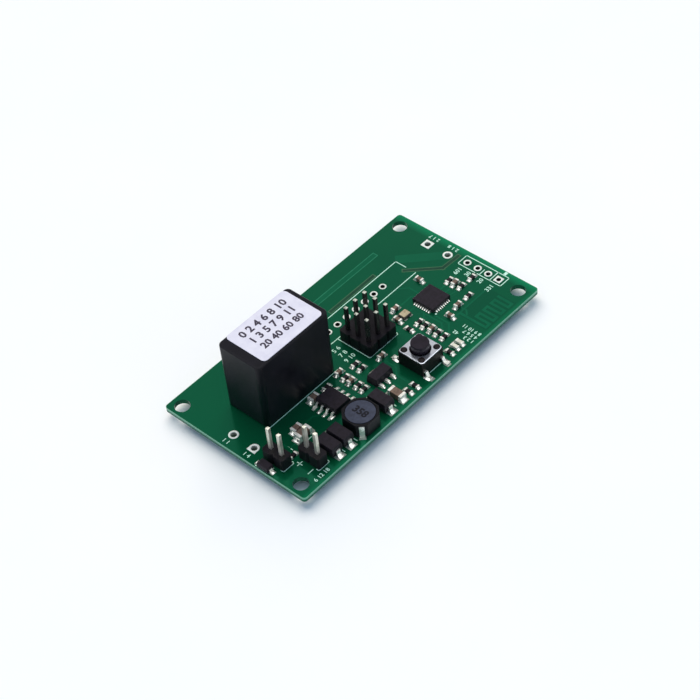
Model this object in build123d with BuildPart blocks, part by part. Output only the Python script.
"""Smart relay module: a small wireless relay board, built as an assembly of named pieces.

Lengths are in millimetres. X runs along the board from the input wire holes to the output wire
holes, Y runs across it and Z is up. The origin is below the middle of the board, level with the
ends of the pins. Places on the board are measured from its corner at the least X and Y.
"""

import os
from math import cos, radians, sin

from build123d import *

os.makedirs("parts", exist_ok=True)

# Circuit board
BOARD_LENGTH = 64.6
BOARD_WIDTH = 34.7
BOARD_THICKNESS = 1.0
BOARD_CORNER_R = 0.7
PIN_STUB = 1.5
UNDERSIDE = PIN_STUB
TOP = UNDERSIDE + BOARD_THICKNESS
COPPER = 0.05
SEAT = TOP + COPPER

# Plain screw holes
SCREW_HOLE_R = 1.5
SCREW_SPACING_X = 59.7
SCREW_SPACING_Y = 29.4
SCREW_CENTRE = (32.05, 17.55)

# Plated holes for wires, a programming header and a radio module
PLATING = 0.05
WIRE_HOLE_R = 0.6
WIRE_PAD_R = 1.03
INPUT_HOLES = [(3.0, 14.9), (3.0, 20.0)]
OUTPUT_HOLES = [(61.3, 24.6), (61.3, 19.55)]
PITCH = 2.54
SMALL_HOLE_R = 0.45
PROGRAMMING_PAD_R = 0.82
PROGRAMMING_FIRST = (61.97, 7.56)
PROGRAMMING_COUNT = 4
RADIO_PAD_R = 0.78
RADIO_FIRST = (31.99, 23.78)
RADIO_COUNT = 7

# Pin headers
PIN_SIDE = 0.64
PIN_POINT = 0.18
HEADER_HEIGHT = 2.54
CELL_CUT = 0.35
SELECTOR_CENTRE = (35.7, 17.05)
SELECTOR_TIP = TOP + 8.25
SUPPLY_CENTRE = (3.5, 9.6)
TRIGGER_CENTRE = (7.6, 4.9)
PAIR_TIP = TOP + 7.9

# Sides of the round pieces that repeat or stay hidden inside a case
ROUND_SIDES = 16
RING_SIDES = 8
CONE_SIDES = 6

# Solder under the board
PIN_PAD_R = 0.95
TERMINAL_PAD_R = 1.3
SOLDER_HEIGHT = 0.9
SOLDER_INSET = 0.1
SOLDER_FOOT = 0.35
SOLDER_NECK_R = 0.6
TERMINAL_NECK_R = 0.75

# Relay case
RELAY_CENTRE = (16.75, 21.15)
RELAY_LENGTH = 18.0
RELAY_WIDTH = 10.1
RELAY_TOP = TOP + 15.3
RELAY_STAND = 0.3
RELAY_WALL = 0.8
RELAY_EDGE_R = 1.0
RELAY_RIM = 0.2
RELAY_FLOOR = TOP + RELAY_STAND
RELAY_DECK = TOP + 1.6
LABEL_CENTRE = (17.2, 21.25)
LABEL_LENGTH = 15.0
LABEL_WIDTH = 9.7
LABEL_CORNER_R = 0.9
LABEL_THICKNESS = 0.06

# Relay magnet, measured from the middle of the case
COIL_X = -2.6
YOKE_X = -7.6
YOKE_STEEL = 1.0
YOKE_WIDTH = 7.2
YOKE_TOP = TOP + 11.4
FLANGE_LENGTH = 7.2
FLANGE_WIDTH = 8.0
FLANGE = 0.6
CORE_R = 1.45
POLE_R = 2.3
BOBBIN_TUBE_R = 1.9
WINDING_R = 3.4

# Relay contacts, measured from the middle of the case or along the tilted armature
HINGE_X = -7.5
REST_GAP = 0.02
PULL_IN_ANGLE = 3.0
ARMATURE_STEEL = 0.8
ARMATURE_LENGTH = 7.9
BLADE = 0.15
BLADE_LENGTH = 14.8
CONTACT_REACH = 13.5
CONTACT_R = 1.2
CONTACT_HEIGHT = 0.5
CONTACT_STEM_R = 0.5
STRIP = 0.4
OPEN_TERMINAL_X = 7.4
COMMON_TERMINAL_X = -7.1
TERMINAL_WIDTH = 1.0
COIL_PIN = 0.5
COIL_PIN_SPACING = 7.5

# Push switch
SWITCH_CENTRE = (37.0, 5.4)
SWITCH_SIDE = 5.9
SWITCH_FLOOR = TOP + 0.15
SWITCH_WELL = TOP + 1.0
SWITCH_WELL_R = 2.35
SWITCH_PLATE_BASE = TOP + 3.05
SWITCH_PLATE = 0.25
SWITCH_PLATE_SIDE = 5.8
RIVET_SPACING = 4.2
RIVET_R = 0.42
RIVET_HEAD_R = 0.62
BUTTON_R = 1.75
BUTTON_TOP = TOP + 5.0
BUTTON_GAP = 0.2
BUTTON_FLANGE_R = 2.15
DOME_R = 2.1
DOME_RISE = 0.65
SWITCH_LEG_X = 2.275
SWITCH_LEG_WIDTH = 0.65

# Shielded inductor
INDUCTOR_CENTRE = (19.05, 3.9)
INDUCTOR_SIDE = 6.2
INDUCTOR_CUT = 1.5
INDUCTOR_BASE = SEAT + 0.15
INDUCTOR_TOP = TOP + 3.0
DRUM_R = 2.75
DRUM_POST_R = 1.2
DRUM_FLANGE = 0.5
SHIELD_BORE_R = 2.9

# Square wireless chip
WIRELESS_CENTRE = (50.1, 14.1)
WIRELESS_SIDE = 5.0
WIRELESS_HEIGHT = 0.85
WIRELESS_LEADS = 8
WIRELESS_PITCH = 0.5

# Moulded packages: length along X, width along Y
DRAFT = 7
CONVERTER_CENTRE = (19.4, 10.95)
CONVERTER_SIZE = (3.9, 4.9)
REGULATOR_CENTRE = (29.35, 8.65)
REGULATOR_SIZE = (4.5, 2.5)
DIODE_CENTRES = [(11.0, 4.35), (14.0, 4.35), (24.4, 4.0)]
DIODE_SIZE = (2.6, 4.3)
SMALL_DIODE_CENTRE = (0.95, 10.2)
SMALL_DIODE_SIZE = (1.6, 2.6)

# Chip parts: length, width, height and the length of an end cap
SKIN = 0.04
SMALL_RESISTOR = (1.6, 0.8, 0.45, 0.33)
SMALL_CAPACITOR = (1.6, 0.8, 0.8, 0.35)
MIDDLE_CAPACITOR = (2.0, 1.25, 1.0, 0.45)
LARGE_CAPACITOR = (3.1, 1.55, 1.35, 0.55)
SMALL_LED = (1.6, 0.8, 0.6, 0.3)
CRYSTAL_CENTRE = (43.95, 15.4)
CRYSTAL_SIZE = (2.0, 1.7)

# Places of the chip parts: x, y and turn
RESISTORS = [
    (5.9, 8.2, 0),
    (21.4, 14.5, 0),
    (25.3, 8.9, 0),
    (25.3, 10.3, 0),
    (25.3, 13.4, 0),
    (28.8, 14.2, 0),
    (28.8, 12.6, 0),
    (29.75, 2.2, 90),
    (31.55, 2.2, 90),
    (41.7, 2.6, 90),
    (44.1, 5.9, 0),
    (44.1, 7.5, 0),
    (44.1, 10.6, 0),
    (44.1, 12.0, 0),
    (41.6, 12.2, 90),
    (55.0, 9.2, 0),
    (56.0, 14.7, 0),
    (56.2, 11.9, 0),
    (59.2, 11.8, 0),
]
SMALL_CAPACITORS = [
    (25.2, 11.95, 0),
    (25.4, 15.1, 0),
    (33.2, 11.7, 0),
    (42.0, 15.4, 90),
    (43.9, 17.7, 0),
    (44.1, 8.95, 0),
    (48.8, 8.4, 90),
    (51.8, 9.1, 0),
    (56.0, 13.3, 0),
    (52.6, 19.2, 90),
]
MIDDLE_CAPACITORS = [(17.9, 14.4, 0), (10.65, 11.8, 0)]
LARGE_CAPACITORS = [(27.7, 3.1, 90), (10.5, 10.05, 0)]
LEDS = [(43.3, 2.7, 90), (44.65, 2.7, 90)]

STANDING = (Align.CENTER, Align.CENTER, Align.MIN)
HANGING = (Align.CENTER, Align.CENTER, Align.MAX)


def at(x, y):
    """Model place of a point measured from the corner of the board."""
    return (x - BOARD_LENGTH / 2, y - BOARD_WIDTH / 2)


def relay_at(x, y=0.0):
    """Model place of a point measured from the middle of the relay."""
    return at(RELAY_CENTRE[0] + x, RELAY_CENTRE[1] + y)


def row(first, count):
    """Places of holes one pitch apart along X."""
    return [at(first[0] + i * PITCH, first[1]) for i in range(count)]


def column(first, count):
    """Places of holes one pitch apart along Y."""
    return [at(first[0], first[1] + i * PITCH) for i in range(count)]


def header_places(centre, along_x, along_y):
    """Model places of the pins of a header."""
    return [
        at(
            centre[0] + (i - (along_x - 1) / 2) * PITCH,
            centre[1] + (j - (along_y - 1) / 2) * PITCH,
        )
        for i in range(along_x)
        for j in range(along_y)
    ]


def cut_square(side, cut):
    """Corners of a square whose corners are cut off."""
    half = side / 2
    near = half - cut
    return [
        (near, -half),
        (half, -near),
        (half, near),
        (near, half),
        (-near, half),
        (-half, near),
        (-half, -near),
        (-near, -half),
    ]


def spots(places, height):
    """Locations of chip parts at a height."""
    return [Location((*at(x, y), height), (0, 0, turn)) for x, y, turn in places]


def upright(places, height=SEAT):
    """Upright planes whose x axis points outward at each place's turn and whose y axis is up."""
    return [
        Plane(
            origin=(*at(x, y), height),
            x_dir=(cos(radians(turn)), sin(radians(turn)), 0),
            z_dir=(sin(radians(turn)), -cos(radians(turn)), 0),
        )
        for x, y, turn in places
    ]


def gull_wing(exit_height, shoulder, slope, foot, thickness):
    """Side outline of a lead that leaves a package, bends down and ends in a flat foot."""
    reach = shoulder + slope + foot
    return [
        (0, exit_height),
        (0, exit_height + thickness),
        (shoulder + thickness / 2, exit_height + thickness),
        (shoulder + slope + thickness / 2, thickness),
        (reach, thickness),
        (reach, 0),
        (shoulder + slope - thickness / 2, 0),
        (shoulder - thickness / 2, exit_height),
    ]


def chip_bodies(places, size):
    """Ceramic bodies of chip parts between their end caps, in the open block."""
    length, width, height, cap = size
    with Locations(*spots(places, SEAT + SKIN)):
        Box(length - 2 * cap, width - 2 * SKIN, height - 2 * SKIN, align=STANDING)


def chip_terminals(places, size):
    """Metal end caps of chip parts, in the open block."""
    length, width, height, cap = size
    reach = (length - cap) / 2
    with Locations(
        *[spot * Pos(side * reach, 0, 0) for spot in spots(places, SEAT) for side in (-1, 1)]
    ):
        Box(cap, width, height, align=STANDING)


def chip_pads(places, size):
    """Tinned pads under the ends of chip parts, in the open block."""
    length, width, _, cap = size
    pad = 2 * cap + 0.2
    with Locations(
        *[spot * Pos(side * length / 2, 0, 0) for spot in spots(places, TOP) for side in (-1, 1)]
    ):
        Box(pad, width + 0.15, COPPER, align=STANDING)


PROGRAMMING_HOLES = column(PROGRAMMING_FIRST, PROGRAMMING_COUNT)
RADIO_HOLES = row(RADIO_FIRST, RADIO_COUNT)
WIRE_HOLES = [at(*place) for place in INPUT_HOLES + OUTPUT_HOLES]
SELECTOR_PINS = header_places(SELECTOR_CENTRE, 3, 3)
SUPPLY_PINS = header_places(SUPPLY_CENTRE, 1, 2)
TRIGGER_PINS = header_places(TRIGGER_CENTRE, 1, 2)
HEADER_PINS = SELECTOR_PINS + SUPPLY_PINS + TRIGGER_PINS
COIL_PINS = [relay_at(COIL_X, side * COIL_PIN_SPACING / 2) for side in (-1, 1)]
CONTACT_PINS = [relay_at(COMMON_TERMINAL_X), relay_at(OPEN_TERMINAL_X)]

# Circuit board with its screw holes and plated holes: solder fills the holes of the pins
with BuildPart() as circuit_board:
    with BuildSketch(Plane.XY.offset(UNDERSIDE)):
        RectangleRounded(BOARD_LENGTH, BOARD_WIDTH, BOARD_CORNER_R)
        with Locations(at(*SCREW_CENTRE)):
            with GridLocations(SCREW_SPACING_X, SCREW_SPACING_Y, 2, 2):
                Circle(SCREW_HOLE_R, mode=Mode.SUBTRACT)
        with Locations(*WIRE_HOLES):
            RegularPolygon(WIRE_HOLE_R + PLATING, ROUND_SIDES, mode=Mode.SUBTRACT)
        with Locations(*PROGRAMMING_HOLES, *RADIO_HOLES):
            RegularPolygon(SMALL_HOLE_R + PLATING, RING_SIDES, mode=Mode.SUBTRACT)
        with Locations(*HEADER_PINS):
            Rectangle(PIN_SIDE, PIN_SIDE, mode=Mode.SUBTRACT)
        with Locations(*COIL_PINS):
            Rectangle(COIL_PIN, COIL_PIN, mode=Mode.SUBTRACT)
        with Locations(*CONTACT_PINS):
            Rectangle(STRIP, TERMINAL_WIDTH, mode=Mode.SUBTRACT)
    extrude(amount=BOARD_THICKNESS)
circuit_board.part.label = "circuit_board"
export_step(circuit_board.part, "parts/circuit_board.step")

# Pads and plating of the four wire holes: two pads have square sides
with BuildPart() as wire_pads:
    for level in (UNDERSIDE - COPPER, TOP):
        with BuildSketch(Plane.XY.offset(level)):
            with Locations(*WIRE_HOLES):
                RegularPolygon(WIRE_PAD_R, RING_SIDES)
            with Locations(at(INPUT_HOLES[0][0] - WIRE_PAD_R / 2, INPUT_HOLES[0][1])):
                Rectangle(WIRE_PAD_R, 2 * WIRE_PAD_R)
            with Locations(at(*OUTPUT_HOLES[0])):
                Rectangle(2 * WIRE_PAD_R, 2 * WIRE_PAD_R)
        extrude(amount=COPPER)
    with BuildSketch(Plane.XY.offset(UNDERSIDE)):
        with Locations(*WIRE_HOLES):
            RegularPolygon(WIRE_HOLE_R + PLATING, ROUND_SIDES)
    extrude(amount=BOARD_THICKNESS)
    with BuildSketch(Plane.XY.offset(UNDERSIDE - COPPER)):
        with Locations(*WIRE_HOLES):
            Circle(WIRE_HOLE_R)
    extrude(amount=BOARD_THICKNESS + 2 * COPPER, mode=Mode.SUBTRACT)
wire_pads.part.label = "wire_pads"
export_step(wire_pads.part, "parts/wire_pads.step")

# Pads and plating of the programming holes: the first pad is square
with BuildPart() as programming_pads:
    for level in (UNDERSIDE - COPPER, TOP):
        with BuildSketch(Plane.XY.offset(level)):
            with Locations(*PROGRAMMING_HOLES):
                RegularPolygon(PROGRAMMING_PAD_R, RING_SIDES)
            with Locations(PROGRAMMING_HOLES[0]):
                Rectangle(2 * PROGRAMMING_PAD_R, 2 * PROGRAMMING_PAD_R)
        extrude(amount=COPPER)
    with BuildSketch(Plane.XY.offset(UNDERSIDE)):
        with Locations(*PROGRAMMING_HOLES):
            RegularPolygon(SMALL_HOLE_R + PLATING, RING_SIDES)
    extrude(amount=BOARD_THICKNESS)
    with BuildSketch(Plane.XY.offset(UNDERSIDE - COPPER)):
        with Locations(*PROGRAMMING_HOLES):
            RegularPolygon(SMALL_HOLE_R, RING_SIDES)
    extrude(amount=BOARD_THICKNESS + 2 * COPPER, mode=Mode.SUBTRACT)
programming_pads.part.label = "programming_pads"
export_step(programming_pads.part, "parts/programming_pads.step")

# Pads and plating of the empty radio module holes
with BuildPart() as radio_pads:
    for level in (UNDERSIDE - COPPER, TOP):
        with BuildSketch(Plane.XY.offset(level)):
            with Locations(*RADIO_HOLES):
                RegularPolygon(RADIO_PAD_R, RING_SIDES)
        extrude(amount=COPPER)
    with BuildSketch(Plane.XY.offset(UNDERSIDE)):
        with Locations(*RADIO_HOLES):
            RegularPolygon(SMALL_HOLE_R + PLATING, RING_SIDES)
    extrude(amount=BOARD_THICKNESS)
    with BuildSketch(Plane.XY.offset(UNDERSIDE - COPPER)):
        with Locations(*RADIO_HOLES):
            RegularPolygon(SMALL_HOLE_R, RING_SIDES)
    extrude(amount=BOARD_THICKNESS + 2 * COPPER, mode=Mode.SUBTRACT)
radio_pads.part.label = "radio_pads"
export_step(radio_pads.part, "parts/radio_pads.step")

# Copper rings on the underside round every soldered pin
with BuildPart() as pin_pads:
    with BuildSketch(Plane.XY.offset(UNDERSIDE - COPPER)):
        with Locations(*HEADER_PINS, *COIL_PINS):
            RegularPolygon(PIN_PAD_R, CONE_SIDES)
        with Locations(*CONTACT_PINS):
            RegularPolygon(TERMINAL_PAD_R, CONE_SIDES)
        with Locations(*HEADER_PINS):
            Rectangle(PIN_SIDE, PIN_SIDE, mode=Mode.SUBTRACT)
        with Locations(*COIL_PINS):
            Rectangle(COIL_PIN, COIL_PIN, mode=Mode.SUBTRACT)
        with Locations(*CONTACT_PINS):
            Rectangle(STRIP, TERMINAL_WIDTH, mode=Mode.SUBTRACT)
    extrude(amount=COPPER)
pin_pads.part.label = "pin_pads"
export_step(pin_pads.part, "parts/pin_pads.step")

# Solder below the board, a wide foot with a narrow neck, with the pins' own room taken out
with BuildPart() as solder_joints:
    for height, foot_r, terminal_r in (
        (SOLDER_FOOT, PIN_PAD_R - SOLDER_INSET, TERMINAL_PAD_R - SOLDER_INSET),
        (SOLDER_HEIGHT, SOLDER_NECK_R, TERMINAL_NECK_R),
    ):
        with BuildSketch(Plane.XY.offset(UNDERSIDE - COPPER - height)):
            with Locations(*HEADER_PINS, *COIL_PINS):
                RegularPolygon(foot_r, CONE_SIDES)
            with Locations(*CONTACT_PINS):
                RegularPolygon(terminal_r, CONE_SIDES)
        extrude(amount=height)
    with Locations(*HEADER_PINS):
        Box(PIN_SIDE, PIN_SIDE, TOP, align=STANDING, mode=Mode.SUBTRACT)
    with Locations(*COIL_PINS):
        Box(COIL_PIN, COIL_PIN, TOP, align=STANDING, mode=Mode.SUBTRACT)
    with Locations(*CONTACT_PINS):
        Box(STRIP, TERMINAL_WIDTH, TOP, align=STANDING, mode=Mode.SUBTRACT)
solder_joints.part.label = "solder_joints"
export_step(solder_joints.part, "parts/solder_joints.step")

# Tinned pads on the board's top, under every surface-mounted piece
SWITCH_FEET = [
    (SWITCH_CENTRE[0] + side * SWITCH_LEG_X, SWITCH_CENTRE[1] + end * 4.25, 90)
    for side in (-1, 1)
    for end in (-1, 1)
]
CONVERTER_FEET = [
    (CONVERTER_CENTRE[0] + side * 2.9, CONVERTER_CENTRE[1] + (i - 1.5) * 1.27, 0)
    for side in (-1, 1)
    for i in range(4)
]
REGULATOR_FEET = [(REGULATOR_CENTRE[0] + i * 1.5, REGULATOR_CENTRE[1] - 1.8, 90) for i in (-1, 0, 1)]
DIODE_FEET = [(x, y + end * 2.55, 90) for x, y in DIODE_CENTRES for end in (-1, 1)]
SMALL_DIODE_FEET = [
    (SMALL_DIODE_CENTRE[0], SMALL_DIODE_CENTRE[1] + end * 1.75, 90) for end in (-1, 1)
]
INDUCTOR_FEET = [
    (INDUCTOR_CENTRE[0] + end * 2.15, INDUCTOR_CENTRE[1] + end * 2.15, 45) for end in (-1, 1)
]
CRYSTAL_FEET = [
    (CRYSTAL_CENTRE[0] + i * 0.7, CRYSTAL_CENTRE[1] + j * 0.75, 0) for i in (-1, 1) for j in (-1, 1)
]
PAD_GROUPS = [
    (SWITCH_FEET, 1.3, 1.0),
    (CONVERTER_FEET, 1.3, 0.6),
    (REGULATOR_FEET, 1.1, 0.75),
    ([(REGULATOR_CENTRE[0], REGULATOR_CENTRE[1] + 1.5, 90)], 1.2, 2.0),
    (DIODE_FEET, 1.5, 1.9),
    (SMALL_DIODE_FEET, 0.9, 1.0),
    (INDUCTOR_FEET, 1.9, 1.3),
    (CRYSTAL_FEET, 0.75, 0.75),
]
with BuildPart() as surface_pads:
    chip_pads(RESISTORS, SMALL_RESISTOR)
    chip_pads(SMALL_CAPACITORS, SMALL_CAPACITOR)
    chip_pads(MIDDLE_CAPACITORS, MIDDLE_CAPACITOR)
    chip_pads(LARGE_CAPACITORS, LARGE_CAPACITOR)
    chip_pads(LEDS, SMALL_LED)
    for feet, pad_length, pad_width in PAD_GROUPS:
        with Locations(*spots(feet, TOP)):
            Box(pad_length, pad_width, COPPER, align=STANDING)
    for turn in (0, 90, 180, 270):
        with Locations(*spots([(*WIRELESS_CENTRE, turn)], TOP)):
            with Locations((0, -WIRELESS_SIDE / 2, 0)):
                Box(WIRELESS_LEADS * WIRELESS_PITCH, 0.6, COPPER, align=STANDING)
surface_pads.part.label = "surface_pads"
export_step(surface_pads.part, "parts/surface_pads.step")

# Relay cover: a deep box open below, with rounded uprights and a crisp top rim
with BuildPart() as relay_cover:
    with BuildSketch(Plane.XY.offset(RELAY_FLOOR)):
        with Locations(relay_at(0)):
            RectangleRounded(RELAY_LENGTH, RELAY_WIDTH, RELAY_EDGE_R)
    extrude(amount=RELAY_TOP - RELAY_FLOOR)
    chamfer(relay_cover.faces().sort_by(Axis.Z)[-1].edges(), RELAY_RIM)
    with BuildSketch(Plane.XY.offset(RELAY_FLOOR)):
        with Locations(relay_at(0)):
            RectangleRounded(
                RELAY_LENGTH - 2 * RELAY_WALL,
                RELAY_WIDTH - 2 * RELAY_WALL,
                RELAY_EDGE_R - RELAY_WALL,
            )
    extrude(amount=RELAY_TOP - RELAY_FLOOR - RELAY_WALL, mode=Mode.SUBTRACT)
relay_cover.part.label = "relay_cover"
export_step(relay_cover.part, "parts/relay_cover.step")

# Paper label on the relay
with BuildPart() as relay_label:
    with BuildSketch(Plane.XY.offset(RELAY_TOP)):
        with Locations(at(*LABEL_CENTRE)):
            RectangleRounded(LABEL_LENGTH, LABEL_WIDTH, LABEL_CORNER_R)
    extrude(amount=LABEL_THICKNESS)
relay_label.part.label = "relay_label"
export_step(relay_label.part, "parts/relay_label.step")

# Relay base: closes the cover, stands on four feet and lets the pins through
with BuildPart() as relay_base:
    with BuildSketch(Plane.XY.offset(RELAY_FLOOR)):
        with Locations(relay_at(0)):
            RectangleRounded(
                RELAY_LENGTH - 2 * RELAY_WALL,
                RELAY_WIDTH - 2 * RELAY_WALL,
                RELAY_EDGE_R - RELAY_WALL,
            )
        with Locations(*COIL_PINS):
            Rectangle(COIL_PIN, COIL_PIN, mode=Mode.SUBTRACT)
        with Locations(*CONTACT_PINS):
            Rectangle(STRIP, TERMINAL_WIDTH, mode=Mode.SUBTRACT)
    extrude(amount=RELAY_DECK - RELAY_FLOOR)
    with BuildSketch(Plane.XY.offset(TOP)):
        with Locations(relay_at(0)):
            with GridLocations(RELAY_LENGTH - 3.6, RELAY_WIDTH - 3.0, 2, 2):
                Rectangle(1.2, 0.9)
    extrude(amount=RELAY_STAND)
relay_base.part.label = "relay_base"
export_step(relay_base.part, "parts/relay_base.step")

# Yoke: an L of steel, its foot under the coil and its upright behind it
YOKE_FOOT_END = COIL_X + 3.0
with BuildPart() as relay_yoke:
    with Locations((*relay_at((YOKE_X + YOKE_FOOT_END) / 2), RELAY_DECK)):
        Box(YOKE_FOOT_END - YOKE_X, 5.6, YOKE_STEEL, align=STANDING)
    with Locations((*relay_at(YOKE_X + YOKE_STEEL / 2), RELAY_DECK)):
        Box(YOKE_STEEL, YOKE_WIDTH, YOKE_TOP - RELAY_DECK, align=STANDING)
    with BuildSketch(Plane.XY.offset(RELAY_DECK)):
        with Locations(relay_at(COIL_X)):
            RegularPolygon(CORE_R, ROUND_SIDES)
    extrude(amount=YOKE_STEEL, mode=Mode.SUBTRACT)
relay_yoke.part.label = "relay_yoke"
export_step(relay_yoke.part, "parts/relay_yoke.step")

# Iron core riveted in the yoke's foot, with a wide pole face on top
POLE_BASE = YOKE_TOP - FLANGE
with BuildPart() as relay_core:
    with BuildSketch(Plane.XY.offset(RELAY_DECK)):
        with Locations(relay_at(COIL_X)):
            RegularPolygon(CORE_R, ROUND_SIDES)
    extrude(amount=POLE_BASE - RELAY_DECK)
    with BuildSketch(Plane.XY.offset(POLE_BASE)):
        with Locations(relay_at(COIL_X)):
            RegularPolygon(POLE_R, ROUND_SIDES)
    extrude(amount=FLANGE)
relay_core.part.label = "relay_core"
export_step(relay_core.part, "parts/relay_core.step")

# Bobbin: two flanges and the tube round the core
BOBBIN_BASE = RELAY_DECK + YOKE_STEEL
with BuildPart() as relay_bobbin:
    for level in (BOBBIN_BASE, POLE_BASE - FLANGE):
        with BuildSketch(Plane.XY.offset(level)):
            with Locations(relay_at(COIL_X)):
                RectangleRounded(FLANGE_LENGTH, FLANGE_WIDTH, 0.6)
        extrude(amount=FLANGE)
    with BuildSketch(Plane.XY.offset(BOBBIN_BASE)):
        with Locations(relay_at(COIL_X)):
            RegularPolygon(BOBBIN_TUBE_R, ROUND_SIDES)
    extrude(amount=POLE_BASE - BOBBIN_BASE)
    with BuildSketch(Plane.XY.offset(BOBBIN_BASE)):
        with Locations(relay_at(COIL_X)):
            RegularPolygon(CORE_R, ROUND_SIDES)
    extrude(amount=POLE_BASE - BOBBIN_BASE, mode=Mode.SUBTRACT)
relay_bobbin.part.label = "relay_bobbin"
export_step(relay_bobbin.part, "parts/relay_bobbin.step")

# Coil of fine wire, drawn as the plain sleeve that its layers fill
with BuildPart() as relay_coil:
    with BuildSketch(Plane.XY.offset(BOBBIN_BASE + FLANGE)):
        with Locations(relay_at(COIL_X)):
            RegularPolygon(WINDING_R, ROUND_SIDES)
            RegularPolygon(BOBBIN_TUBE_R, ROUND_SIDES, mode=Mode.SUBTRACT)
    extrude(amount=POLE_BASE - BOBBIN_BASE - 2 * FLANGE)
relay_coil.part.label = "relay_coil"
export_step(relay_coil.part, "parts/relay_coil.step")

# Coil pins: from the bobbin down through the base and the board
with BuildPart() as relay_coil_pins:
    with Locations(*COIL_PINS):
        Box(COIL_PIN, COIL_PIN, BOBBIN_BASE, align=STANDING)
relay_coil_pins.part.label = "relay_coil_pins"
export_step(relay_coil_pins.part, "parts/relay_coil_pins.step")

# Common terminal: a flat pin under the yoke
with BuildPart() as relay_common_terminal:
    with Locations(relay_at(COMMON_TERMINAL_X)):
        Box(STRIP, TERMINAL_WIDTH, RELAY_DECK, align=STANDING)
relay_common_terminal.part.label = "relay_common_terminal"
export_step(relay_common_terminal.part, "parts/relay_common_terminal.step")

# Open terminal: a strip that rises beside the coil and bends over as a shelf for its contact
CLOSED_FACE = YOKE_TOP + REST_GAP + ARMATURE_STEEL - CONTACT_HEIGHT
SHELF_TOP = CLOSED_FACE - REST_GAP - CONTACT_HEIGHT
CONTACT_X = HINGE_X + CONTACT_REACH
SHELF_START = 4.6
with BuildPart() as relay_open_terminal:
    with Locations(relay_at(OPEN_TERMINAL_X)):
        Box(STRIP, TERMINAL_WIDTH, RELAY_DECK, align=STANDING)
    with Locations((*relay_at(OPEN_TERMINAL_X), RELAY_DECK)):
        Box(STRIP, 2.8, SHELF_TOP - RELAY_DECK, align=STANDING)
    shelf_end = OPEN_TERMINAL_X + STRIP / 2
    with Locations((*relay_at((SHELF_START + shelf_end) / 2), SHELF_TOP)):
        Box(shelf_end - SHELF_START, 2.8, STRIP, align=HANGING)
    bend = relay_open_terminal.edges().filter_by(Axis.Y).sort_by(Axis.Z)[-2:].sort_by(Axis.X)[-1]
    fillet(bend, 0.35)
relay_open_terminal.part.label = "relay_open_terminal"
export_step(relay_open_terminal.part, "parts/relay_open_terminal.step")

# Fixed contact: a silver button on the shelf
with BuildPart() as relay_fixed_contact:
    with BuildSketch(Plane.XY.offset(SHELF_TOP)):
        with Locations(relay_at(CONTACT_X)):
            RegularPolygon(CONTACT_R, ROUND_SIDES)
    extrude(amount=CONTACT_HEIGHT)
relay_fixed_contact.part.label = "relay_fixed_contact"
export_step(relay_fixed_contact.part, "parts/relay_fixed_contact.step")

# Armature at rest: tipped up on the yoke's top edge, wide at the hinge and narrower at its end
TIP = radians(PULL_IN_ANGLE)
ARMATURE_PLANE = Plane(
    origin=(*relay_at(HINGE_X), YOKE_TOP + REST_GAP),
    x_dir=(cos(TIP), 0, sin(TIP)),
    z_dir=(-sin(TIP), 0, cos(TIP)),
)
BLADE_RIVETS = [(3.6, -1.3), (3.6, 1.3)]
with BuildPart() as relay_armature:
    with BuildSketch(ARMATURE_PLANE):
        Polygon(
            (0, -3.4),
            (2.2, -3.4),
            (ARMATURE_LENGTH, -2.5),
            (ARMATURE_LENGTH, 2.5),
            (2.2, 3.4),
            (0, 3.4),
            align=None,
        )
    extrude(amount=ARMATURE_STEEL)
    with BuildSketch(ARMATURE_PLANE.offset(ARMATURE_STEEL)):
        with Locations(*BLADE_RIVETS):
            RegularPolygon(0.5, ROUND_SIDES)
    extrude(amount=BLADE + 0.2)
relay_armature.part.label = "relay_armature"
export_step(relay_armature.part, "parts/relay_armature.step")

# Contact blade: a thin spring strip riveted on the armature that reaches past the coil
with BuildPart() as relay_contact_blade:
    with BuildSketch(ARMATURE_PLANE.offset(ARMATURE_STEEL)):
        Polygon(
            (0.5, -2.4),
            (6.6, -2.4),
            (9.4, -1.4),
            (BLADE_LENGTH, -1.4),
            (BLADE_LENGTH, 1.4),
            (9.4, 1.4),
            (6.6, 2.4),
            (0.5, 2.4),
            align=None,
        )
        with Locations(*BLADE_RIVETS):
            RegularPolygon(0.5, ROUND_SIDES, mode=Mode.SUBTRACT)
        with Locations((CONTACT_REACH, 0)):
            RegularPolygon(CONTACT_STEM_R, ROUND_SIDES, mode=Mode.SUBTRACT)
    extrude(amount=BLADE)
relay_contact_blade.part.label = "relay_contact_blade"
export_step(relay_contact_blade.part, "parts/relay_contact_blade.step")

# Moving contact: a silver rivet through the blade, its wide face down
with BuildPart() as relay_moving_contact:
    with BuildSketch(ARMATURE_PLANE.offset(ARMATURE_STEEL - CONTACT_HEIGHT)):
        with Locations((CONTACT_REACH, 0)):
            RegularPolygon(CONTACT_R, ROUND_SIDES)
    extrude(amount=CONTACT_HEIGHT)
    with BuildSketch(ARMATURE_PLANE.offset(ARMATURE_STEEL)):
        with Locations((CONTACT_REACH, 0)):
            RegularPolygon(CONTACT_STEM_R, ROUND_SIDES)
    extrude(amount=BLADE)
    with BuildSketch(ARMATURE_PLANE.offset(ARMATURE_STEEL + BLADE)):
        with Locations((CONTACT_REACH, 0)):
            RegularPolygon(0.8, ROUND_SIDES)
    extrude(amount=0.2)
relay_moving_contact.part.label = "relay_moving_contact"
export_step(relay_moving_contact.part, "parts/relay_moving_contact.step")

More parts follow.
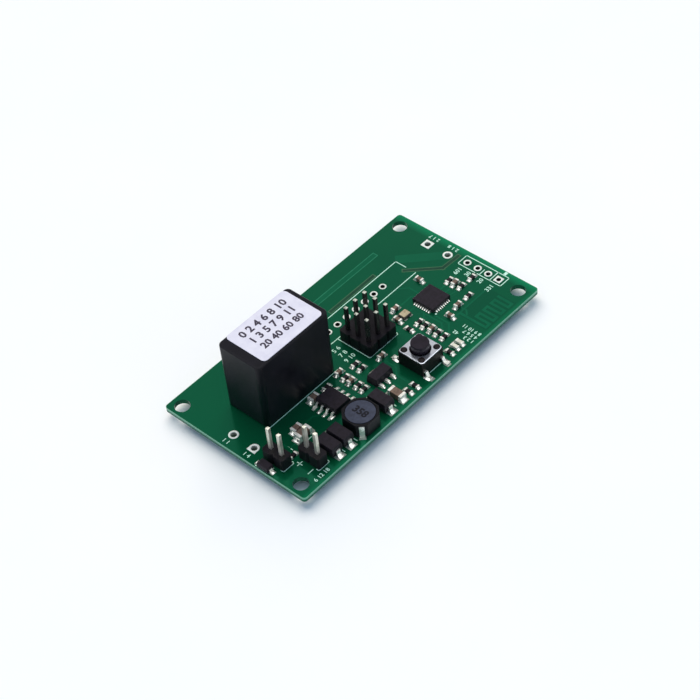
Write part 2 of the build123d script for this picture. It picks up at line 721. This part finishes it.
# Return spring: the blade's own leg, fixed to the back of the yoke and bent over the hinge
SPRING = 0.12
SPRING_FOOT = 3.0
SPRING_BEND = 12.45
with BuildPart() as relay_return_spring:
    with BuildSketch(Plane.XZ.offset(-relay_at(0)[1] + 2.2)):
        spring_x = relay_at(YOKE_X)[0]
        with BuildLine():
            Polyline(
                (spring_x, TOP + SPRING_FOOT),
                (spring_x - SPRING, TOP + SPRING_FOOT),
                (spring_x - SPRING, TOP + SPRING_BEND),
                (spring_x + 0.18, TOP + SPRING_BEND + 0.3),
                (spring_x + 0.48, TOP + SPRING_BEND + 0.3),
                (spring_x + 0.48, TOP + SPRING_BEND + 0.3 - SPRING),
                (spring_x + 0.22, TOP + SPRING_BEND + 0.3 - SPRING),
                (spring_x, TOP + SPRING_BEND - 0.06),
                close=True,
            )
        make_face()
    extrude(amount=-4.4)
relay_return_spring.part.label = "relay_return_spring"
export_step(relay_return_spring.part, "parts/relay_return_spring.step")

# Back stop: a post beside the contacts with an arm over the blade, which limits the opening
STOP_LEVEL = TOP + 13.4
STOP_THICKNESS = 0.4
with BuildPart() as relay_backstop:
    with Locations((*relay_at(CONTACT_X, 3.3), RELAY_DECK)):
        Box(1.4, 0.8, STOP_LEVEL + STOP_THICKNESS - RELAY_DECK, align=STANDING)
    with Locations((*relay_at(CONTACT_X, 1.55), STOP_LEVEL)):
        Box(1.4, 4.3, STOP_THICKNESS, align=STANDING)
relay_backstop.part.label = "relay_backstop"
export_step(relay_backstop.part, "parts/relay_backstop.step")

# Selector header: nine cells in one block, notched between the cells
with BuildPart() as selector_header_body:
    with BuildSketch(Plane.XY.offset(TOP)):
        with Locations(*SELECTOR_PINS):
            Polygon(*cut_square(PITCH, CELL_CUT))
        with Locations(at(*SELECTOR_CENTRE)):
            Rectangle(3 * PITCH - 2 * CELL_CUT, 3 * PITCH - 2 * CELL_CUT)
        with Locations(*SELECTOR_PINS):
            Rectangle(PIN_SIDE, PIN_SIDE, mode=Mode.SUBTRACT)
    extrude(amount=HEADER_HEIGHT)
selector_header_body.part.label = "selector_header_body"
export_step(selector_header_body.part, "parts/selector_header_body.step")

# Selector pins: nine square pins with bevelled ends
with BuildPart() as selector_header_pins:
    with Locations(*SELECTOR_PINS):
        Box(PIN_SIDE, PIN_SIDE, SELECTOR_TIP, align=STANDING)
    chamfer(selector_header_pins.faces().filter_by(Axis.Z).edges(), PIN_POINT)
selector_header_pins.part.label = "selector_header_pins"
export_step(selector_header_pins.part, "parts/selector_header_pins.step")

# Supply header: two cells at the input end
with BuildPart() as supply_header_body:
    with BuildSketch(Plane.XY.offset(TOP)):
        with Locations(*SUPPLY_PINS):
            Polygon(*cut_square(PITCH, CELL_CUT))
            Rectangle(PIN_SIDE, PIN_SIDE, mode=Mode.SUBTRACT)
    extrude(amount=HEADER_HEIGHT)
supply_header_body.part.label = "supply_header_body"
export_step(supply_header_body.part, "parts/supply_header_body.step")

with BuildPart() as supply_header_pins:
    with Locations(*SUPPLY_PINS):
        Box(PIN_SIDE, PIN_SIDE, PAIR_TIP, align=STANDING)
    chamfer(supply_header_pins.faces().filter_by(Axis.Z).edges(), PIN_POINT)
supply_header_pins.part.label = "supply_header_pins"
export_step(supply_header_pins.part, "parts/supply_header_pins.step")

# Trigger header: two cells beside the diodes
with BuildPart() as trigger_header_body:
    with BuildSketch(Plane.XY.offset(TOP)):
        with Locations(*TRIGGER_PINS):
            Polygon(*cut_square(PITCH, CELL_CUT))
            Rectangle(PIN_SIDE, PIN_SIDE, mode=Mode.SUBTRACT)
    extrude(amount=HEADER_HEIGHT)
trigger_header_body.part.label = "trigger_header_body"
export_step(trigger_header_body.part, "parts/trigger_header_body.step")

with BuildPart() as trigger_header_pins:
    with Locations(*TRIGGER_PINS):
        Box(PIN_SIDE, PIN_SIDE, PAIR_TIP, align=STANDING)
    chamfer(trigger_header_pins.faces().filter_by(Axis.Z).edges(), PIN_POINT)
trigger_header_pins.part.label = "trigger_header_pins"
export_step(trigger_header_pins.part, "parts/trigger_header_pins.step")

# Switch housing: a cup for the dome and button, with four posts headed over the metal plate
with BuildPart() as switch_housing:
    with BuildSketch(Plane.XY.offset(SWITCH_FLOOR)):
        with Locations(at(*SWITCH_CENTRE)):
            RectangleRounded(SWITCH_SIDE, SWITCH_SIDE, 0.3)
    extrude(amount=SWITCH_PLATE_BASE - SWITCH_FLOOR)
    with BuildSketch(Plane.XY.offset(SWITCH_WELL)):
        with Locations(at(*SWITCH_CENTRE)):
            Circle(SWITCH_WELL_R)
    extrude(amount=SWITCH_PLATE_BASE - SWITCH_WELL, mode=Mode.SUBTRACT)
    with BuildSketch(Plane.XY.offset(SWITCH_PLATE_BASE)):
        with Locations(at(*SWITCH_CENTRE)):
            with GridLocations(RIVET_SPACING, RIVET_SPACING, 2, 2):
                RegularPolygon(RIVET_R, CONE_SIDES)
    extrude(amount=SWITCH_PLATE)
    with BuildSketch(Plane.XY.offset(SWITCH_PLATE_BASE + SWITCH_PLATE)):
        with Locations(at(*SWITCH_CENTRE)):
            with GridLocations(RIVET_SPACING, RIVET_SPACING, 2, 2):
                RegularPolygon(RIVET_HEAD_R, RING_SIDES)
    extrude(amount=0.22, taper=30)
switch_housing.part.label = "switch_housing"
export_step(switch_housing.part, "parts/switch_housing.step")

# Switch cover: a stamped plate with a hole for the button and four for the posts
with BuildPart() as switch_cover:
    with BuildSketch(Plane.XY.offset(SWITCH_PLATE_BASE)):
        with Locations(at(*SWITCH_CENTRE)):
            RectangleRounded(SWITCH_PLATE_SIDE, SWITCH_PLATE_SIDE, 0.6)
            Circle(BUTTON_R + BUTTON_GAP, mode=Mode.SUBTRACT)
            with GridLocations(RIVET_SPACING, RIVET_SPACING, 2, 2):
                RegularPolygon(RIVET_R, CONE_SIDES, mode=Mode.SUBTRACT)
    extrude(amount=SWITCH_PLATE)
switch_cover.part.label = "switch_cover"
export_step(switch_cover.part, "parts/switch_cover.step")

# Switch button: a round key, a flange held under the plate and a nub over the dome
BUTTON_FLANGE_BASE = TOP + 2.45
BUTTON_FLANGE_TOP = SWITCH_PLATE_BASE - 0.05
with BuildPart() as switch_button:
    with BuildSketch(Plane.XY.offset(BUTTON_FLANGE_TOP)):
        with Locations(at(*SWITCH_CENTRE)):
            Circle(BUTTON_R)
    extrude(amount=BUTTON_TOP - BUTTON_FLANGE_TOP)
    chamfer(switch_button.faces().sort_by(Axis.Z)[-1].edges(), 0.12)
    with BuildSketch(Plane.XY.offset(BUTTON_FLANGE_BASE)):
        with Locations(at(*SWITCH_CENTRE)):
            Circle(BUTTON_FLANGE_R)
    extrude(amount=BUTTON_FLANGE_TOP - BUTTON_FLANGE_BASE)
    nub_base = SWITCH_WELL + 0.05 + DOME_RISE + REST_GAP
    with BuildSketch(Plane.XY.offset(nub_base)):
        with Locations(at(*SWITCH_CENTRE)):
            RegularPolygon(0.7, ROUND_SIDES)
    extrude(amount=BUTTON_FLANGE_BASE - nub_base)
switch_button.part.label = "switch_button"
export_step(switch_button.part, "parts/switch_button.step")

# Snap dome: a shallow sprung dish on the rim contacts, pressed as a low cone
DOME_SHEET = 0.08
with BuildPart() as switch_dome:
    with BuildSketch(*upright([(*SWITCH_CENTRE, 0)], SWITCH_WELL + 0.05)):
        Polygon(
            (0, DOME_RISE),
            (DOME_R, DOME_SHEET),
            (DOME_R, 0),
            (0, DOME_RISE - DOME_SHEET),
            align=None,
        )
    revolve(axis=Axis((*at(*SWITCH_CENTRE), 0), (0, 0, 1)))
switch_dome.part.label = "switch_dome"
export_step(switch_dome.part, "parts/switch_dome.step")

# Switch contacts: a centre disc below the dome and two strips under its rim
with BuildPart() as switch_contacts:
    with BuildSketch(Plane.XY.offset(SWITCH_WELL)):
        with Locations(at(*SWITCH_CENTRE)):
            RegularPolygon(0.5, ROUND_SIDES)
            with GridLocations(3.8, 0, 2, 1):
                Rectangle(0.5, 1.4)
    extrude(amount=0.05)
switch_contacts.part.label = "switch_contacts"
export_step(switch_contacts.part, "parts/switch_contacts.step")

# Switch legs: two at the front and two at the back, bent down to flat feet
SWITCH_LEG_PLACES = [
    (SWITCH_CENTRE[0] + side * SWITCH_LEG_X, SWITCH_CENTRE[1] + end * SWITCH_SIDE / 2, end * 90)
    for side in (-1, 1)
    for end in (-1, 1)
]
with BuildPart() as switch_legs:
    with BuildSketch(*upright(SWITCH_LEG_PLACES)):
        Polygon(*gull_wing(0.9, 0.3, 0.4, 0.85, 0.2), align=None)
    extrude(amount=SWITCH_LEG_WIDTH / 2, both=True)
switch_legs.part.label = "switch_legs"
export_step(switch_legs.part, "parts/switch_legs.step")

# Wireless chip: a flat square body with eight leads on every side
with BuildPart() as wireless_chip_body:
    with Locations((*at(*WIRELESS_CENTRE), SEAT)):
        Box(WIRELESS_SIDE, WIRELESS_SIDE, WIRELESS_HEIGHT, align=STANDING)
    chamfer(wireless_chip_body.faces().sort_by(Axis.Z)[-1].edges(), 0.06)
wireless_chip_body.part.label = "wireless_chip_body"
export_step(wireless_chip_body.part, "parts/wireless_chip_body.step")

with BuildPart() as wireless_chip_leads:
    for turn in (0, 90, 180, 270):
        with Locations(*spots([(*WIRELESS_CENTRE, turn)], SEAT)):
            with Locations((0, -WIRELESS_SIDE / 2 - 0.125, 0)):
                with GridLocations(WIRELESS_PITCH, 0, WIRELESS_LEADS, 1):
                    Box(0.25, 0.25, 0.22, align=STANDING)
wireless_chip_leads.part.label = "wireless_chip_leads"
export_step(wireless_chip_leads.part, "parts/wireless_chip_leads.step")

# Converter chip: a moulded body with drafted sides and four leads on each long side
with BuildPart() as converter_chip_body:
    for side, height in ((1, 0.75), (-1, 0.6)):
        with BuildSketch(
            Plane(origin=(*at(*CONVERTER_CENTRE), SEAT + 0.75), x_dir=(1, 0, 0), z_dir=(0, 0, side))
        ):
            Rectangle(*CONVERTER_SIZE)
        extrude(amount=height, taper=DRAFT)
converter_chip_body.part.label = "converter_chip_body"
export_step(converter_chip_body.part, "parts/converter_chip_body.step")

CONVERTER_LEAD_PLACES = [
    (
        CONVERTER_CENTRE[0] + side * CONVERTER_SIZE[0] / 2,
        CONVERTER_CENTRE[1] + (i - 1.5) * 1.27,
        90 - side * 90,
    )
    for side in (-1, 1)
    for i in range(4)
]
with BuildPart() as converter_chip_leads:
    with BuildSketch(*upright(CONVERTER_LEAD_PLACES)):
        Polygon(*gull_wing(0.65, 0.3, 0.3, 0.65, 0.18), align=None)
    extrude(amount=0.21, both=True)
    with Locations((*at(*CONVERTER_CENTRE), SEAT)):
        Box(*CONVERTER_SIZE, 2, align=STANDING, mode=Mode.SUBTRACT)
converter_chip_leads.part.label = "converter_chip_leads"
export_step(converter_chip_leads.part, "parts/converter_chip_leads.step")

# Regulator: a moulded body with three flat leads in front and a heat tab behind
with BuildPart() as regulator_body:
    with BuildSketch(Plane.XY.offset(SEAT)):
        with Locations(at(*REGULATOR_CENTRE)):
            Rectangle(*REGULATOR_SIZE)
    extrude(amount=1.5, taper=DRAFT)
regulator_body.part.label = "regulator_body"
export_step(regulator_body.part, "parts/regulator_body.step")

with BuildPart() as regulator_leads:
    front = REGULATOR_CENTRE[1] - REGULATOR_SIZE[1] / 2
    back = REGULATOR_CENTRE[1] + REGULATOR_SIZE[1] / 2
    with Locations(*[(*at(REGULATOR_CENTRE[0] + i * 1.5, front - 0.5), SEAT) for i in (-1, 0, 1)]):
        Box(0.5, 1.0, 0.4, align=STANDING)
    with Locations((*at(REGULATOR_CENTRE[0], back + 0.3), SEAT)):
        Box(1.7, 0.6, 0.4, align=STANDING)
    chamfer(regulator_leads.edges().filter_by(Axis.X).group_by(Axis.Z)[-1], 0.1)
regulator_leads.part.label = "regulator_leads"
export_step(regulator_leads.part, "parts/regulator_leads.step")

# Crystal: a ceramic tray with a metal lid
with BuildPart() as crystal_base:
    with BuildSketch(Plane.XY.offset(SEAT)):
        with Locations(at(*CRYSTAL_CENTRE)):
            RectangleRounded(*CRYSTAL_SIZE, 0.1)
    extrude(amount=0.42)
crystal_base.part.label = "crystal_base"
export_step(crystal_base.part, "parts/crystal_base.step")

with BuildPart() as crystal_lid:
    with BuildSketch(Plane.XY.offset(SEAT + 0.42)):
        with Locations(at(*CRYSTAL_CENTRE)):
            RectangleRounded(CRYSTAL_SIZE[0] - 0.3, CRYSTAL_SIZE[1] - 0.3, 0.2)
    extrude(amount=0.16)
crystal_lid.part.label = "crystal_lid"
export_step(crystal_lid.part, "parts/crystal_lid.step")

# Inductor shield: a square ferrite ring with cut corners
with BuildPart() as inductor_shield:
    with BuildSketch(Plane.XY.offset(INDUCTOR_BASE)):
        with Locations(at(*INDUCTOR_CENTRE)):
            Polygon(*cut_square(INDUCTOR_SIDE, INDUCTOR_CUT))
            Circle(SHIELD_BORE_R, mode=Mode.SUBTRACT)
    extrude(amount=INDUCTOR_TOP - INDUCTOR_BASE)
inductor_shield.part.label = "inductor_shield"
export_step(inductor_shield.part, "parts/inductor_shield.step")

# Inductor drum: two round flanges joined by a post
with BuildPart() as inductor_drum:
    for level in (INDUCTOR_BASE, INDUCTOR_TOP - DRUM_FLANGE):
        with BuildSketch(Plane.XY.offset(level)):
            with Locations(at(*INDUCTOR_CENTRE)):
                Circle(DRUM_R)
        extrude(amount=DRUM_FLANGE)
    with BuildSketch(Plane.XY.offset(INDUCTOR_BASE)):
        with Locations(at(*INDUCTOR_CENTRE)):
            RegularPolygon(DRUM_POST_R, ROUND_SIDES)
    extrude(amount=INDUCTOR_TOP - INDUCTOR_BASE)
inductor_drum.part.label = "inductor_drum"
export_step(inductor_drum.part, "parts/inductor_drum.step")

# Inductor winding between the flanges, drawn as the sleeve that the wire fills
with BuildPart() as inductor_winding:
    with BuildSketch(Plane.XY.offset(INDUCTOR_BASE + DRUM_FLANGE)):
        with Locations(at(*INDUCTOR_CENTRE)):
            RegularPolygon(DRUM_R - 0.25, ROUND_SIDES)
            RegularPolygon(DRUM_POST_R, ROUND_SIDES, mode=Mode.SUBTRACT)
    extrude(amount=INDUCTOR_TOP - INDUCTOR_BASE - 2 * DRUM_FLANGE)
inductor_winding.part.label = "inductor_winding"
export_step(inductor_winding.part, "parts/inductor_winding.step")

# Glue that holds the drum in the shield
with BuildPart() as inductor_glue:
    with BuildSketch(Plane.XY.offset(INDUCTOR_TOP - DRUM_FLANGE)):
        with Locations(at(*INDUCTOR_CENTRE)):
            Circle(SHIELD_BORE_R)
            Circle(DRUM_R, mode=Mode.SUBTRACT)
    extrude(amount=DRUM_FLANGE - 0.12)
inductor_glue.part.label = "inductor_glue"
export_step(inductor_glue.part, "parts/inductor_glue.step")

# Inductor terminals: strips up two opposite corners, folded under the shield
CORNER = INDUCTOR_SIDE / 2 - INDUCTOR_CUT / 2
INDUCTOR_CORNERS = [
    (INDUCTOR_CENTRE[0] + side * CORNER, INDUCTOR_CENTRE[1] + side * CORNER, 135 - side * 90)
    for side in (-1, 1)
]
FOOT_RISE = INDUCTOR_BASE - SEAT
with BuildPart() as inductor_terminals:
    with BuildSketch(*upright(INDUCTOR_CORNERS)):
        Polygon(
            (-1.5, 0),
            (0.13, 0),
            (0.13, 2.65),
            (0, 2.65),
            (0, FOOT_RISE),
            (-1.5, FOOT_RISE),
            align=None,
        )
    extrude(amount=0.48, both=True)
inductor_terminals.part.label = "inductor_terminals"
export_step(inductor_terminals.part, "parts/inductor_terminals.step")

# Large diodes: three moulded bodies with a bent lead at each end
DIODE_PARTING = 1.15
DIODE_LEAD_WIDTH = 0.9
with BuildPart() as diode_bodies:
    for side, height in ((1, 1.0), (-1, 1.05)):
        with BuildSketch(
            *[
                Plane(origin=(*at(x, y), SEAT + DIODE_PARTING), x_dir=(1, 0, 0), z_dir=(0, 0, side))
                for x, y in DIODE_CENTRES
            ]
        ):
            Rectangle(*DIODE_SIZE)
        extrude(amount=height, taper=DRAFT)
diode_bodies.part.label = "diode_bodies"
export_step(diode_bodies.part, "parts/diode_bodies.step")

DIODE_LEAD_PLACES = [(x, y + end * DIODE_SIZE[1] / 2, end * 90) for x, y in DIODE_CENTRES for end in (-1, 1)]
with BuildPart() as diode_leads:
    with BuildSketch(*upright(DIODE_LEAD_PLACES)):
        Polygon(*gull_wing(1.05, 0.12, 0.2, 0.38, 0.2), align=None)
    extrude(amount=DIODE_LEAD_WIDTH / 2, both=True)
diode_leads.part.label = "diode_leads"
export_step(diode_leads.part, "parts/diode_leads.step")

# Small diode at the board's edge
with BuildPart() as small_diode_body:
    for side, height in ((1, 0.6), (-1, 0.45)):
        with BuildSketch(
            Plane(origin=(*at(*SMALL_DIODE_CENTRE), SEAT + 0.5), x_dir=(1, 0, 0), z_dir=(0, 0, side))
        ):
            Rectangle(*SMALL_DIODE_SIZE)
        extrude(amount=height, taper=DRAFT)
small_diode_body.part.label = "small_diode_body"
export_step(small_diode_body.part, "parts/small_diode_body.step")

SMALL_DIODE_ENDS = [
    (SMALL_DIODE_CENTRE[0], SMALL_DIODE_CENTRE[1] + end * SMALL_DIODE_SIZE[1] / 2, end * 90)
    for end in (-1, 1)
]
with BuildPart() as small_diode_leads:
    with BuildSketch(*upright(SMALL_DIODE_ENDS)):
        Polygon(*gull_wing(0.42, 0.1, 0.15, 0.35, 0.13), align=None)
    extrude(amount=0.35, both=True)
small_diode_leads.part.label = "small_diode_leads"
export_step(small_diode_leads.part, "parts/small_diode_leads.step")

# Chip capacitors of the two smaller sizes
with BuildPart() as capacitor_bodies:
    chip_bodies(SMALL_CAPACITORS, SMALL_CAPACITOR)
    chip_bodies(MIDDLE_CAPACITORS, MIDDLE_CAPACITOR)
capacitor_bodies.part.label = "capacitor_bodies"
export_step(capacitor_bodies.part, "parts/capacitor_bodies.step")

with BuildPart() as capacitor_terminals:
    chip_terminals(SMALL_CAPACITORS, SMALL_CAPACITOR)
    chip_terminals(MIDDLE_CAPACITORS, MIDDLE_CAPACITOR)
capacitor_terminals.part.label = "capacitor_terminals"
export_step(capacitor_terminals.part, "parts/capacitor_terminals.step")

# Large chip capacitors at the supply
with BuildPart() as large_capacitor_bodies:
    chip_bodies(LARGE_CAPACITORS, LARGE_CAPACITOR)
large_capacitor_bodies.part.label = "large_capacitor_bodies"
export_step(large_capacitor_bodies.part, "parts/large_capacitor_bodies.step")

with BuildPart() as large_capacitor_terminals:
    chip_terminals(LARGE_CAPACITORS, LARGE_CAPACITOR)
large_capacitor_terminals.part.label = "large_capacitor_terminals"
export_step(large_capacitor_terminals.part, "parts/large_capacitor_terminals.step")

# Chip resistors
with BuildPart() as resistor_bodies:
    chip_bodies(RESISTORS, SMALL_RESISTOR)
resistor_bodies.part.label = "resistor_bodies"
export_step(resistor_bodies.part, "parts/resistor_bodies.step")

with BuildPart() as resistor_terminals:
    chip_terminals(RESISTORS, SMALL_RESISTOR)
resistor_terminals.part.label = "resistor_terminals"
export_step(resistor_terminals.part, "parts/resistor_terminals.step")

# Two indicator lamps
with BuildPart() as led_bodies:
    chip_bodies(LEDS, SMALL_LED)
led_bodies.part.label = "led_bodies"
export_step(led_bodies.part, "parts/led_bodies.step")

with BuildPart() as led_terminals:
    chip_terminals(LEDS, SMALL_LED)
led_terminals.part.label = "led_terminals"
export_step(led_terminals.part, "parts/led_terminals.step")
